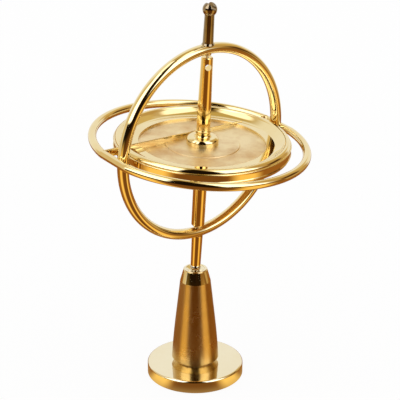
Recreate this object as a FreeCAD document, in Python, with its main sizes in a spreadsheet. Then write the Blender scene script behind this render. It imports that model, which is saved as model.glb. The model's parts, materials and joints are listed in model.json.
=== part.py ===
import FreeCAD, Part
import math
import os
import Sketcher

# A demonstration gyroscope leaning on the cup of its pedestal.
# The pedestal stands on the XY plane with its axis on Z and its front towards -Y.
# Every size is in millimetres or degrees, and is kept in the sheet called Sizes.
SIZES = {
    # Pedestal: a round base disc, a tapered column and the cup in its top
    "base_radius": 17.0,
    "base_thickness": 4.6,
    "base_top_round": 0.8,
    "base_foot_chamfer": 0.3,
    "socket_radius": 4.5,
    "socket_depth": 1.2,
    "column_foot_radius": 8.3,
    "column_foot_bevel_width": 1.4,
    "column_foot_bevel_height": 1.7,
    "column_swell_radius": 263.0,
    "column_middle_radius": 7.15,
    "column_middle_height": 20.0,
    "column_shoulder_radius": 5.35,
    "column_shoulder_drop": 4.2,
    "column_neck_wall": 0.35,
    "column_height": 40.0,
    "cup_outer_radius": 3.85,
    "cup_wall": 0.6,
    "cup_depth": 4.2,
    "cup_rim_rise": 0.4,
    "cup_rim_round": 0.25,
    "cup_seat_radius": 1.3,
    # Screw that holds the column on the base, seen only from below
    "screw_radius": 2.0,
    "screw_length": 15.0,
    "screw_head_radius": 3.8,
    "screw_head_sink": 0.4,
    "screw_end_chamfer": 0.5,
    "screw_hex_width": 2.5,
    "screw_hex_depth": 1.6,
    "screw_hole_spare": 2.0,
    # Ball foot that turns in the cup
    "ball_radius": 1.85,
    "ball_rise": 0.6,
    # Pose of the gyroscope on its foot
    "lean_angle": 4.5,
    "lean_heading": -53.3,
    "frame_heading": 39.3,
    # Frame: an upright ring of oval section with a wire ring round its outside
    "upright_ring_radius": 33.0,
    "upright_ring_half_thickness": 1.75,
    "upright_ring_half_width": 2.15,
    "stem_seat_radius": 2.25,
    "stem_seat_sink": 0.35,
    "wire_radius": 1.4,
    "wire_saddle_depth": 0.6,
    "wire_flat_half_angle": 10.0,
    "wire_ring_cant": 2.6,
    "wire_ring_cant_heading": -39.3,
    "wire_ring_shift_along": -0.45,
    "wire_ring_shift_across": 0.75,
    # Stem and slotted ball above the frame
    "top_stem_foot_radius": 1.8,
    "top_stem_head_radius": 1.62,
    "top_stem_flare_radius": 2.2,
    "top_stem_flare_height": 0.7,
    "finial_radius": 2.4,
    "finial_height": 11.85,
    "finial_flat": 0.3,
    "slot_width": 1.8,
    "slot_floor": 0.2,
    # Stem between the frame and the ball foot
    "foot_stem_head_radius": 1.9,
    "foot_stem_reach": 12.25,
    "foot_stem_lip": 0.12,
    "foot_stem_lip_height": 1.0,
    # Bearings pressed into the upright ring, and the pins that run in them
    "bearing_radius": 1.3,
    "bearing_length": 1.7,
    "bearing_proud": 0.3,
    "bearing_bore_depth": 1.4,
    "pin_radius": 0.5,
    "pin_grip": 1.5,
    "pin_tip_height": 0.3,
    "pin_tip_radius": 0.2,
    "pin_end_float": 0.05,
    # Rotor: rim, web, collars and the two halves of its spindle
    "rotor_clearance": 1.35,
    "rotor_lip_proud": 0.2,
    "rotor_lip_width": 0.5,
    "rotor_wall_half_height": 1.45,
    "rotor_drop": 0.35,
    "rotor_crest_half_height": 2.9,
    "rotor_crest_inset": 1.8,
    "rotor_shoulder_radius": 1.56,
    "rotor_crest_width": 0.9,
    "rotor_crest_fall": 0.45,
    "rotor_crest_radius": 1.13,
    "rotor_cove_width": 2.9,
    "rotor_cove_radius": 20.0,
    "rotor_flat_width": 2.8,
    "rotor_flat_half_height": 0.8,
    "web_drop": 0.4,
    "web_half_thickness": 0.4,
    "hub_disc_radius": 12.7,
    "hub_disc_half_thickness": 0.65,
    "hub_disc_bevel": 0.2,
    "collar_radius": 5.45,
    "collar_height": 2.65,
    "collar_round": 1.5,
    "spindle_flare_radius": 3.0,
    "spindle_flare_height": 0.9,
    "spindle_flare_round": 1.1,
    "spindle_neck_radius": 2.4,
    "spindle_bead_radius": 2.65,
    "spindle_bead_rise": 1.5,
    "spindle_bead_height": 0.8,
    "spindle_bead_bevel": 0.2,
    "spindle_root_radius": 2.35,
    "upper_spindle_tip_radius": 1.98,
    "upper_spindle_end_gap": 0.75,
    "lower_spindle_tip_radius": 2.25,
    "lower_spindle_end_gap": 0.45,
    "spindle_end_chamfer": 0.3,
    "string_hole_radius": 1.1,
    "string_hole_drop": 3.1,
    "string_hole_heading": -112.0,
    "hub_stud_radius": 1.25,
    "hub_stud_half_length": 9.0,
    "hub_stud_end_gap": 0.3,
    "hub_stud_chamfer": 0.3,
    # Clearances
    "press_gap": 0.01,
    "running_gap": 0.04,
}

doc = FreeCAD.newDocument("gyroscope_on_pedestal")
sheet = doc.addObject("Spreadsheet::Sheet", "Sizes")
for row, (size_name, size_value) in enumerate(SIZES.items(), start=1):
    sheet.set(f"A{row}", size_name)
    sheet.set(f"B{row}", str(size_value))
    sheet.setAlias(f"B{row}", size_name)
doc.recompute()


class Size:
    """A length or angle that knows its value and the sheet expression it comes from."""

    def __init__(self, text, value):
        self.text = text
        self.value = value

    def __add__(self, other):
        other = as_size(other)
        return Size(f"({self.text} + {other.text})", self.value + other.value)

    def __sub__(self, other):
        other = as_size(other)
        return Size(f"({self.text} - {other.text})", self.value - other.value)

    def __mul__(self, other):
        other = as_size(other)
        return Size(f"({self.text} * {other.text})", self.value * other.value)

    def __truediv__(self, other):
        other = as_size(other)
        return Size(f"({self.text} / {other.text})", self.value / other.value)

    def __neg__(self):
        return Size(f"(0 - {self.text})", -self.value)


def as_size(number):
    return number if isinstance(number, Size) else Size(repr(number), float(number))


def size(name):
    return Size(f"Sizes.{name}", float(SIZES[name]))


def root(amount):
    return Size(f"sqrt({amount.text})", math.sqrt(amount.value))


def cosine(angle):
    return Size(f"cos({angle.text})", math.cos(math.radians(angle.value)))


def sine(angle):
    return Size(f"sin({angle.text})", math.sin(math.radians(angle.value)))


ZERO = as_size(0)


# Sketching helpers

class Corner:
    """A point of an outline. An arc given here is the radius of the edge that arrives at it.

    An arc that is round the axis has its centre held on the axis, which turns it into a true ball.
    """

    def __init__(self, across, up, arc=None, bulge=1, round_axis=False):
        self.across = as_size(across)
        self.up = as_size(up)
        self.arc = arc
        self.bulge = bulge
        self.round_axis = round_axis

    @property
    def point(self):
        return FreeCAD.Vector(self.across.value, self.up.value, 0)

    @property
    def backwards(self):
        return self.arc is not None and self.bulge < 0


def new_body(name):
    return doc.addObject("PartDesign::Body", name)


def new_sketch(body, name, plane_role):
    sketch = body.newObject("Sketcher::SketchObject", name)
    planes = [plane for plane in body.Origin.OriginFeatures if plane.Role == plane_role]
    sketch.AttachmentSupport = [(planes[0], "")]
    sketch.MapMode = "FlatFace"
    return sketch


def arc_between(start, end, radius, bulge):
    """The short arc from start to end. A bulge of 1 lies to the right of the way it is drawn."""
    chord = end - start
    middle = (start + end) * 0.5
    half = chord.Length / 2
    rise = radius - math.sqrt(max(radius * radius - half * half, 0))
    right = FreeCAD.Vector(chord.y, -chord.x, 0).normalize()
    crest = middle + right * (rise * bulge)
    return Part.Arc(start, crest, end) if bulge > 0 else Part.Arc(end, crest, start)


def bind(sketch, constraint, amount):
    index = sketch.addConstraint(constraint)
    sketch.setExpression(f"Constraints[{index}]", amount.text)


def pin_down(sketch, edge, end, corner):
    """Ties one end of an edge to the corner's place in the sheet."""
    if corner.across.value == 0:
        sketch.addConstraint(Sketcher.Constraint("PointOnObject", edge, end, -2))
    else:
        level = Sketcher.Constraint("DistanceX", -1, 1, edge, end, corner.across.value)
        bind(sketch, level, corner.across)
    if corner.up.value == 0:
        sketch.addConstraint(Sketcher.Constraint("PointOnObject", edge, end, -1))
    else:
        level = Sketcher.Constraint("DistanceY", -1, 1, edge, end, corner.up.value)
        bind(sketch, level, corner.up)


def draw_outline(sketch, corners):
    """Draws a closed outline through the corners, in order. Arcs run anticlockwise in a sketch."""
    edges = []
    for number, corner in enumerate(corners):
        start = corners[number - 1].point
        if corner.arc is None:
            shape = Part.LineSegment(start, corner.point)
        else:
            shape = arc_between(start, corner.point, corner.arc.value, corner.bulge)
        edges.append(sketch.addGeometry(shape, False))
    for number, corner in enumerate(corners):
        following = (number + 1) % len(edges)
        end = 1 if corner.backwards else 2
        start = 2 if corners[following].backwards else 1
        joint = Sketcher.Constraint("Coincident", edges[number], end, edges[following], start)
        sketch.addConstraint(joint)
        pin_down(sketch, edges[number], end, corner)
        if corner.round_axis:
            sketch.addConstraint(Sketcher.Constraint("PointOnObject", edges[number], 3, -2))
        elif corner.arc is not None:
            radius = Sketcher.Constraint("Radius", edges[number], corner.arc.value)
            bind(sketch, radius, corner.arc)


def draw_circle(sketch, radius, across=ZERO, up=ZERO):
    centre = FreeCAD.Vector(across.value, up.value, 0)
    circle = sketch.addGeometry(Part.Circle(centre, FreeCAD.Vector(0, 0, 1), radius.value), False)
    pin_down(sketch, circle, 3, Corner(across, up))
    bind(sketch, Sketcher.Constraint("Radius", circle, radius.value), radius)


def turned_body(name, corners):
    """A body turned about its own Z axis from an outline of (radius, height) corners."""
    body = new_body(name)
    sketch = new_sketch(body, f"{name}_profile", "XZ_Plane")
    draw_outline(sketch, corners)
    turning = body.newObject("PartDesign::Revolution", f"{name}_turning")
    turning.Profile = sketch
    turning.ReferenceAxis = (sketch, ["V_Axis"])
    turning.Angle = 360
    doc.recompute()
    return body


def cut_away(body, feature):
    """Recomputes and makes sure that a cut took material away."""
    before = body.Shape.Volume
    body.Tip = feature
    doc.recompute()
    if body.Shape.Volume >= before - 1e-6:
        raise RuntimeError(f"{feature.Name} cuts nothing")


def ball_height():
    """The ball foot sits a little higher than the column's top."""
    return size("column_height") + size("ball_rise")


def ring_outside():
    return size("upright_ring_radius") + size("upright_ring_half_thickness")


def ring_inside():
    return size("upright_ring_radius") - size("upright_ring_half_thickness")


def centre_height():
    """From the ball foot's centre to the centre of the rotor and its rings."""
    return ring_outside() + size("foot_stem_reach")


def bearing_mouth():
    return ring_inside() - size("bearing_proud")


def stand_gyro_piece(body, extra=""):
    """Places a piece that is modelled about the gyroscope's centre, leaning on its foot."""
    foot = f"create(<<vector>>; 0; 0; {ball_height().text})"
    lean_axis = "create(<<vector>>; 0 - sin(Sizes.lean_heading); cos(Sizes.lean_heading); 0)"
    lean = f"create(<<rotation>>; {lean_axis}; Sizes.lean_angle)"
    turn = "create(<<rotation>>; create(<<vector>>; 0; 0; 1); Sizes.frame_heading)"
    rise = f"create(<<placement>>; create(<<vector>>; 0; 0; {centre_height().text});"
    rise += " create(<<rotation>>; create(<<vector>>; 0; 0; 1); 0))"
    body.setExpression("Placement", f"create(<<placement>>; {foot}; {lean} * {turn}) * {rise}{extra}")


# Pedestal

def make_base_disc():
    radius = size("base_radius")
    top = size("base_thickness")
    bend = size("base_top_round")
    foot = size("base_foot_chamfer")
    floor = top - size("socket_depth")
    hole = size("screw_radius") + size("running_gap")
    head = size("screw_head_radius") + size("running_gap")
    sink = size("screw_head_sink")
    return turned_body("base_disc", [
        Corner(head, 0),
        Corner(radius - foot, 0),
        Corner(radius, foot),
        Corner(radius, top - bend),
        Corner(radius - bend, top, arc=bend, bulge=1),
        Corner(size("socket_radius") + size("press_gap"), top),
        Corner(size("socket_radius") + size("press_gap"), floor),
        Corner(hole, floor),
        Corner(hole, sink + (head - hole)),
        Corner(head, sink),
    ])


def column_neck():
    return size("cup_outer_radius") + size("column_neck_wall")


def make_column():
    foot = size("base_thickness")
    waist = foot + size("column_foot_bevel_height")
    radius = size("column_foot_radius")
    bore = size("screw_radius") + size("press_gap")
    bore_top = size("screw_head_sink") + size("screw_length") + size("screw_hole_spare")
    pocket = size("cup_outer_radius") + size("press_gap")
    pocket_floor = size("column_height") - size("cup_depth") - size("press_gap")
    spigot = foot - size("socket_depth") + size("press_gap")
    return turned_body("pedestal_column", [
        Corner(bore, spigot),
        Corner(size("socket_radius"), spigot),
        Corner(size("socket_radius"), foot),
        Corner(radius - size("column_foot_bevel_width"), foot),
        Corner(radius, waist),
        Corner(size("column_middle_radius"), size("column_middle_height"),
               arc=size("column_swell_radius"), bulge=1),
        Corner(size("column_shoulder_radius"), size("column_height") - size("column_shoulder_drop")),
        Corner(column_neck(), size("column_height")),
        Corner(pocket, size("column_height")),
        Corner(pocket, pocket_floor),
        Corner(0, pocket_floor),
        Corner(0, bore_top + bore / 2),
        Corner(bore, bore_top),
    ])


def make_pivot_cup():
    outer = size("cup_outer_radius")
    bottom = size("column_height") - size("cup_depth")
    rim = size("column_height") + size("cup_rim_rise")
    bend = size("cup_rim_round")
    flange = column_neck() - bend / 2
    mouth = outer - size("cup_wall")
    seat_radius = size("cup_seat_radius")
    sphere = size("ball_radius") + size("running_gap")
    seat_height = ball_height() - root(sphere * sphere - seat_radius * seat_radius)
    return turned_body("pivot_cup", [
        Corner(0, bottom),
        Corner(outer, bottom),
        Corner(outer, size("column_height")),
        Corner(flange, size("column_height")),
        Corner(flange, rim - bend),
        Corner(flange - bend, rim, arc=bend, bulge=1),
        Corner(mouth + bend, rim),
        Corner(mouth, rim - bend, arc=bend, bulge=1),
        Corner(seat_radius, seat_height),
        Corner(0, ball_height() - sphere, arc=sphere, bulge=-1, round_axis=True),
    ])


def make_base_screw():
    sink = size("screw_head_sink")
    radius = size("screw_radius")
    head = size("screw_head_radius")
    tip = sink + size("screw_length")
    bevel = size("screw_end_chamfer")
    body = turned_body("base_screw", [
        Corner(0, sink),
        Corner(head, sink),
        Corner(radius, sink + (head - radius)),
        Corner(radius, tip - bevel),
        Corner(radius - bevel, tip),
        Corner(0, tip),
    ])
    sketch = new_sketch(body, "base_screw_hex", "XY_Plane")
    draw_hexagon(sketch, size("screw_hex_width"))
    pocket = body.newObject("PartDesign::Pocket", "base_screw_drive")
    pocket.Profile = sketch
    pocket.Type = "Length"
    pocket.Reversed = True
    pocket.setExpression("Length", (sink + size("screw_hex_depth")).text)
    cut_away(body, pocket)
    return body


def draw_hexagon(sketch, width):
    """A hexagon about the origin, with two corners on the sketch's X axis."""
    reach = width / root(as_size(3))
    corners = []
    for number in range(6):
        angle = as_size(60 * number)
        up = ZERO if number % 3 == 0 else reach * sine(angle)
        corners.append(Corner(reach * cosine(angle), up))
    draw_outline(sketch, corners)


# Ball foot

def make_foot_ball():
    radius = size("ball_radius")
    body = turned_body("foot_ball", [
        Corner(0, -radius),
        Corner(radius, 0, arc=radius, round_axis=True),
        Corner(0, radius, arc=radius, round_axis=True),
    ])
    body.setExpression("Placement.Base.z", ball_height().text)
    return body


# Frame of the gyroscope, about its own centre

def wire_crossing():
    """Distance from the wire ring's centre to the middle of its wire, where it is flattened."""
    return ring_outside() + size("wire_radius") - size("wire_saddle_depth")


def make_wire_ring():
    """A ring of round wire, straight for a short way where it crosses the upright ring."""
    kink_x = wire_crossing()
    radius = kink_x / cosine(size("wire_flat_half_angle"))
    kink_y = radius * sine(size("wire_flat_half_angle"))
    body = new_body("horizontal_ring")
    path = new_sketch(body, "wire_path", "XY_Plane")
    draw_outline(path, [
        Corner(0, -radius, arc=radius),
        Corner(kink_x, -kink_y, arc=radius),
        Corner(kink_x, kink_y),
        Corner(0, radius, arc=radius),
        Corner(-kink_x, kink_y, arc=radius),
        Corner(-kink_x, -kink_y),
    ])
    section = new_sketch(body, "wire_section", "YZ_Plane")
    draw_circle(section, size("wire_radius"), across=-radius)
    pipe = body.newObject("PartDesign::AdditivePipe", "wire_bending")
    pipe.Profile = section
    pipe.Spine = (path, [f"Edge{number + 1}" for number in range(6)])
    pipe.Transition = "Round corner"
    shift = "create(<<vector>>; Sizes.wire_ring_shift_along; Sizes.wire_ring_shift_across; 0)"
    cant_axis = "create(<<vector>>; 0 - sin(Sizes.wire_ring_cant_heading);"
    cant_axis += " cos(Sizes.wire_ring_cant_heading); 0)"
    cant = f"create(<<rotation>>; {cant_axis}; Sizes.wire_ring_cant)"
    stand_gyro_piece(body, f" * create(<<placement>>; {shift}; {cant})")
    doc.recompute()
    return body


def stem_seat():
    """Distance from the centre to the flats that the two stems stand on."""
    return ring_outside() - size("stem_seat_sink")


def make_upright_ring():
    """An oval-section ring, bored and faced for the stems and saddled for the wire ring."""
    body = new_body("vertical_ring")
    sketch = new_sketch(body, "upright_ring_section", "XY_Plane")
    quarter_way = FreeCAD.Rotation(FreeCAD.Vector(0, 1, 0), 45)
    sketch.AttachmentOffset = FreeCAD.Placement(FreeCAD.Vector(0, 0, 0), quarter_way)
    radius = size("upright_ring_radius")
    thick = size("upright_ring_half_thickness")
    wide = size("upright_ring_half_width")
    centre = FreeCAD.Vector(radius.value, 0, 0)
    oval = Part.Ellipse(centre + FreeCAD.Vector(0, wide.value, 0),
                        centre + FreeCAD.Vector(thick.value, 0, 0), centre)
    edge = sketch.addGeometry(oval, False)
    sketch.exposeInternalGeometry(edge)
    major, minor = edge + 1, edge + 2
    pin_down(sketch, edge, 3, Corner(radius, 0))
    sketch.addConstraint(Sketcher.Constraint("Vertical", major))
    bind(sketch, Sketcher.Constraint("Distance", major, 2 * wide.value), wide * 2)
    bind(sketch, Sketcher.Constraint("Distance", minor, 2 * thick.value), thick * 2)
    ring = body.newObject("PartDesign::Revolution", "upright_ring_turning")
    ring.Profile = sketch
    ring.ReferenceAxis = (sketch, ["V_Axis"])
    ring.Angle = 360
    doc.recompute()
    holes = new_sketch(body, "bearing_holes", "XY_Plane")
    draw_circle(holes, size("bearing_radius") + size("press_gap"))
    drilling = body.newObject("PartDesign::Pocket", "bearing_drilling")
    drilling.Profile = holes
    drilling.Type = "ThroughAll"
    drilling.Midplane = True
    cut_away(body, drilling)
    for name, side in (("top_stem_facing", 1), ("foot_stem_facing", -1)):
        facing_sketch = new_sketch(body, f"{name}_outline", "XY_Plane")
        level = (stem_seat() * side).text
        facing_sketch.setExpression("AttachmentOffset.Base.z", level)
        draw_circle(facing_sketch, size("stem_seat_radius"))
        facing = body.newObject("PartDesign::Pocket", name)
        facing.Profile = facing_sketch
        facing.Type = "ThroughAll"
        facing.Reversed = side > 0
        cut_away(body, facing)
    saddles = new_sketch(body, "saddle_outline", "XZ_Plane")
    shift = "create(<<vector>>; Sizes.wire_ring_shift_along; 0; 0 - Sizes.wire_ring_shift_across)"
    cant_axis = "create(<<vector>>; 0 - sin(Sizes.wire_ring_cant_heading); 0;"
    cant_axis += " 0 - cos(Sizes.wire_ring_cant_heading))"
    cant = f"create(<<rotation>>; {cant_axis}; Sizes.wire_ring_cant)"
    saddles.setExpression("AttachmentOffset", f"create(<<placement>>; {shift}; {cant})")
    draw_circle(saddles, size("wire_radius") + size("press_gap"), across=wire_crossing())
    draw_circle(saddles, size("wire_radius") + size("press_gap"), across=-wire_crossing())
    saddling = body.newObject("PartDesign::Pocket", "saddle_filing")
    saddling.Profile = saddles
    saddling.Type = "ThroughAll"
    saddling.Midplane = True
    cut_away(body, saddling)
    stand_gyro_piece(body)
    return body


def make_top_stem():
    """Tapered stem with a round, slotted head, pressed into the top of the upright ring."""
    seat = stem_seat()
    spigot = size("bearing_radius")
    spigot_end = size("upright_ring_radius") + size("press_gap")
    foot = size("top_stem_foot_radius")
    neck = size("top_stem_head_radius")
    flare = size("top_stem_flare_radius")
    flare_top = seat + size("top_stem_flare_height")
    head = size("finial_radius")
    centre = seat + size("finial_height")
    neck_height = centre - root(head * head - neck * neck)
    flat = head - size("finial_flat")
    flat_radius = root(head * head - flat * flat)
    body = turned_body("top_stem", [
        Corner(0, spigot_end),
        Corner(spigot, spigot_end),
        Corner(spigot, seat),
        Corner(flare, seat),
        Corner(foot, flare_top, arc=flare, bulge=-1),
        Corner(neck, neck_height),
        Corner(head, centre, arc=head, round_axis=True),
        Corner(flat_radius, centre + flat, arc=head, round_axis=True),
        Corner(0, centre + flat),
    ])
    sketch = new_sketch(body, "string_slot_outline", "XZ_Plane")
    half = size("slot_width") / 2
    floor = centre + size("slot_floor")
    draw_outline(sketch, [
        Corner(-half, floor + half),
        Corner(ZERO, floor, arc=half, bulge=1),
        Corner(half, floor + half, arc=half, bulge=1),
        Corner(half, centre + head * 2),
        Corner(-half, centre + head * 2),
    ])
    slot = body.newObject("PartDesign::Pocket", "string_slot")
    slot.Profile = sketch
    slot.Type = "ThroughAll"
    slot.Midplane = True
    cut_away(body, slot)
    stand_gyro_piece(body)
    return body


def make_foot_stem():
    """Stem below the frame, hollowed at its end to sit on the ball foot."""
    seat = stem_seat()
    spigot = size("bearing_radius")
    spigot_end = size("upright_ring_radius") + size("press_gap")
    socket = size("ball_radius") + size("running_gap")
    lip_height = size("foot_stem_lip_height")
    end = centre_height() - lip_height
    lip_radius = root(socket * socket - lip_height * lip_height)
    body = turned_body("foot_stem", [
        Corner(0, -spigot_end),
        Corner(spigot, -spigot_end),
        Corner(spigot, -seat),
        Corner(size("foot_stem_head_radius"), -seat),
        Corner(lip_radius + size("foot_stem_lip"), -end),
        Corner(lip_radius, -end),
        Corner(0, socket - centre_height(), arc=socket, round_axis=True),
    ])
    stand_gyro_piece(body)
    return body


def make_bearing(name, side):
    """A blind bush in the upright ring. Side is 1 above the rotor and -1 below it."""
    mouth = bearing_mouth()
    back = mouth + size("bearing_length")
    bore = size("pin_radius") + size("running_gap")
    radius = size("bearing_radius")
    body = turned_body(name, [
        Corner(bore, mouth * side),
        Corner(radius, mouth * side),
        Corner(radius, back * side),
        Corner(0, back * side),
        Corner(0, (mouth + size("bearing_bore_depth")) * side),
        Corner(bore, (mouth + size("bearing_bore_depth")) * side),
    ])
    stand_gyro_piece(body)
    return body


# Rotor, about the gyroscope's centre

def rotor_lip():
    return ring_inside() - size("rotor_clearance")


def rotor_crest():
    """Radius of the rim's highest circle."""
    return rotor_lip() - size("rotor_crest_inset")


def rotor_flat():
    """Outer radius of the low flat that lies inside the rim's raised edge."""
    return rotor_crest() - size("rotor_crest_width") - size("rotor_cove_width")


def rotor_bore():
    return rotor_flat() - size("rotor_flat_width")


def make_rotor_rim():
    """The heavy rim: a low flat, a cove up to a rounded edge, and a flat wall edged by thin lips."""
    middle = -size("rotor_drop")
    bore = rotor_bore()
    flat_out = rotor_flat()
    flat = size("rotor_flat_half_height")
    crest_out = rotor_crest()
    crest_in = crest_out - size("rotor_crest_width")
    crest = size("rotor_crest_half_height")
    crest_low = crest - size("rotor_crest_fall")
    wall = size("rotor_wall_half_height")
    lip = rotor_lip()
    lip_in = lip - size("rotor_lip_width") / 2
    lip_round = size("rotor_lip_width") / 2
    radius = lip - size("rotor_lip_proud")
    lip_low = wall - size("rotor_lip_width")
    lip_middle = (wall + lip_low) / 2
    cove = size("rotor_cove_radius")
    shoulder = size("rotor_shoulder_radius")
    bead = size("rotor_crest_radius")
    body = turned_body("rotor_rim", [
        Corner(bore, middle - flat),
        Corner(flat_out, middle - flat),
        Corner(crest_in, middle - crest_low, arc=cove, bulge=-1),
        Corner(crest_out, middle - crest, arc=bead, bulge=1),
        Corner(lip_in, middle - wall, arc=shoulder, bulge=1),
        Corner(lip, middle - lip_middle, arc=lip_round, bulge=1),
        Corner(radius, middle - lip_low),
        Corner(radius, middle + lip_low),
        Corner(lip, middle + lip_middle),
        Corner(lip_in, middle + wall, arc=lip_round, bulge=1),
        Corner(crest_out, middle + crest, arc=shoulder, bulge=1),
        Corner(crest_in, middle + crest_low, arc=bead, bulge=1),
        Corner(flat_out, middle + flat, arc=cove, bulge=-1),
        Corner(bore, middle + flat),
    ])
    stand_gyro_piece(body)
    return body


def web_middle():
    """The web lies a little below the middle of the rim."""
    return -(size("rotor_drop") + size("web_drop"))


def make_rotor_web():
    middle = web_middle()
    rim = rotor_bore() - size("press_gap")
    web = size("web_half_thickness")
    disc = size("hub_disc_radius")
    disc_top = size("hub_disc_half_thickness")
    bevel = size("hub_disc_bevel")
    bore = size("hub_stud_radius") + size("press_gap")
    body = turned_body("rotor_web", [
        Corner(bore, middle - disc_top),
        Corner(disc - bevel, middle - disc_top),
        Corner(disc, middle - web),
        Corner(rim, middle - web),
        Corner(rim, middle + web),
        Corner(disc, middle + web),
        Corner(disc - bevel, middle + disc_top),
        Corner(bore, middle + disc_top),
    ])
    stand_gyro_piece(body)
    return body


def collar_seat(side):
    return web_middle() + size("hub_disc_half_thickness") * side


def collar_top(side):
    return collar_seat(side) + size("collar_height") * side


def make_collar(name, side):
    seat = collar_seat(side)
    radius = size("collar_radius")
    bend = size("collar_round")
    top = collar_top(side)
    bore = size("hub_stud_radius") + size("press_gap")
    body = turned_body(name, [
        Corner(bore, seat),
        Corner(radius, seat),
        Corner(radius, top - bend * side),
        Corner(radius - bend, top, arc=bend, bulge=side),
        Corner(bore, top),
    ])
    stand_gyro_piece(body)
    return body


def upper_spindle_end():
    return bearing_mouth() - size("upper_spindle_end_gap")


def lower_spindle_end():
    return bearing_mouth() - size("lower_spindle_end_gap")


def make_spindle(name, side, tip_radius, end):
    """Half of the rotor's spindle, with a flared root and a bead, bored for the hub stud and a pin."""
    root_height = collar_top(side)
    neck_height = root_height + size("spindle_flare_height") * side
    bead_height = root_height + size("spindle_bead_rise") * side
    bead_end = bead_height + size("spindle_bead_height") * side
    bead_bevel = size("spindle_bead_bevel")
    bevel = size("spindle_end_chamfer")
    stud = size("hub_stud_radius") + size("press_gap")
    stud_floor = size("hub_stud_half_length") + size("hub_stud_end_gap")
    pin = size("pin_radius") + size("press_gap")
    pin_floor = end - size("pin_grip") - size("press_gap")
    body = turned_body(name, [
        Corner(stud, root_height),
        Corner(size("spindle_flare_radius"), root_height),
        Corner(size("spindle_neck_radius"), neck_height, arc=size("spindle_flare_round"), bulge=-side),
        Corner(size("spindle_bead_radius"), bead_height),
        Corner(size("spindle_bead_radius"), bead_end - bead_bevel * side),
        Corner(size("spindle_root_radius"), bead_end),
        Corner(tip_radius, (end - bevel) * side),
        Corner(tip_radius - bevel, end * side),
        Corner(pin, end * side),
        Corner(pin, pin_floor * side),
        Corner(0, pin_floor * side),
        Corner(0, stud_floor * side),
        Corner(stud, stud_floor * side),
    ])
    stand_gyro_piece(body)
    return body


def make_upper_spindle():
    """The upper half, with a cross hole near its top for the starting string."""
    end = upper_spindle_end()
    body = make_spindle("upper_spindle", 1, size("upper_spindle_tip_radius"), end)
    sketch = new_sketch(body, "string_hole_outline", "YZ_Plane")
    sketch.setExpression(
        "AttachmentOffset",
        "create(<<placement>>; create(<<vector>>; 0; 0; 0);"
        " create(<<rotation>>; create(<<vector>>; 0; 1; 0); Sizes.string_hole_heading))",
    )
    draw_circle(sketch, size("string_hole_radius"), up=end - size("string_hole_drop"))
    hole = body.newObject("PartDesign::Pocket", "string_hole")
    hole.Profile = sketch
    hole.Type = "ThroughAll"
    hole.Midplane = True
    cut_away(body, hole)
    return body


def make_hub_stud():
    radius = size("hub_stud_radius")
    half = size("hub_stud_half_length")
    bevel = size("hub_stud_chamfer")
    body = turned_body("hub_stud", [
        Corner(0, -half),
        Corner(radius - bevel, -half),
        Corner(radius, bevel - half),
        Corner(radius, half - bevel),
        Corner(radius - bevel, half),
        Corner(0, half),
    ])
    stand_gyro_piece(body)
    return body


def make_pivot_pin(name, side, spindle_end):
    root_height = spindle_end - size("pin_grip")
    tip = bearing_mouth() + size("bearing_bore_depth") - size("pin_end_float")
    radius = size("pin_radius")
    body = turned_body(name, [
        Corner(0, root_height * side),
        Corner(radius, root_height * side),
        Corner(radius, (tip - size("pin_tip_height")) * side),
        Corner(size("pin_tip_radius"), tip * side),
        Corner(0, tip * side),
    ])
    stand_gyro_piece(body)
    return body


pieces = [
    make_base_disc(),
    make_column(),
    make_pivot_cup(),
    make_base_screw(),
    make_foot_ball(),
    make_upright_ring(),
    make_wire_ring(),
    make_top_stem(),
    make_foot_stem(),
    make_bearing("upper_bearing", 1),
    make_bearing("lower_bearing", -1),
    make_rotor_rim(),
    make_rotor_web(),
    make_collar("upper_collar", 1),
    make_collar("lower_collar", -1),
    make_upper_spindle(),
    make_spindle("lower_spindle", -1, size("lower_spindle_tip_radius"), lower_spindle_end()),
    make_hub_stud(),
    make_pivot_pin("upper_pivot_pin", 1, upper_spindle_end()),
    make_pivot_pin("lower_pivot_pin", -1, lower_spindle_end()),
]
doc.recompute()

for item in doc.Objects:
    if "Invalid" in item.State or "Error" in item.State:
        raise RuntimeError(f"{item.Name} failed: {item.State}")

os.makedirs("parts", exist_ok=True)
for piece in pieces:
    shape = piece.Shape
    if shape.isNull() or not shape.isValid():
        raise RuntimeError(f"{piece.Label} has no valid shape")
    shape.exportStep(f"parts/{piece.Label}.step")
    print(piece.Label, len(shape.Solids), round(shape.Volume, 3))
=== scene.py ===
# %% [markdown]
# # A gyroscope on its pedestal
# This lesson dresses the measured model of a gold-coloured demonstration gyroscope. The measured model
# gives every place and size, so each new piece is drawn exactly where its plain solid stands and then
# takes over from it. The plain solids are made of flat triangles, and a mirror finish shows each one of
# them, so every metal piece is turned again here with many fine steps.

# %% Load the measured model
import json
import math
import bpy
from mathutils import Matrix, Quaternion, Vector


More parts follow.
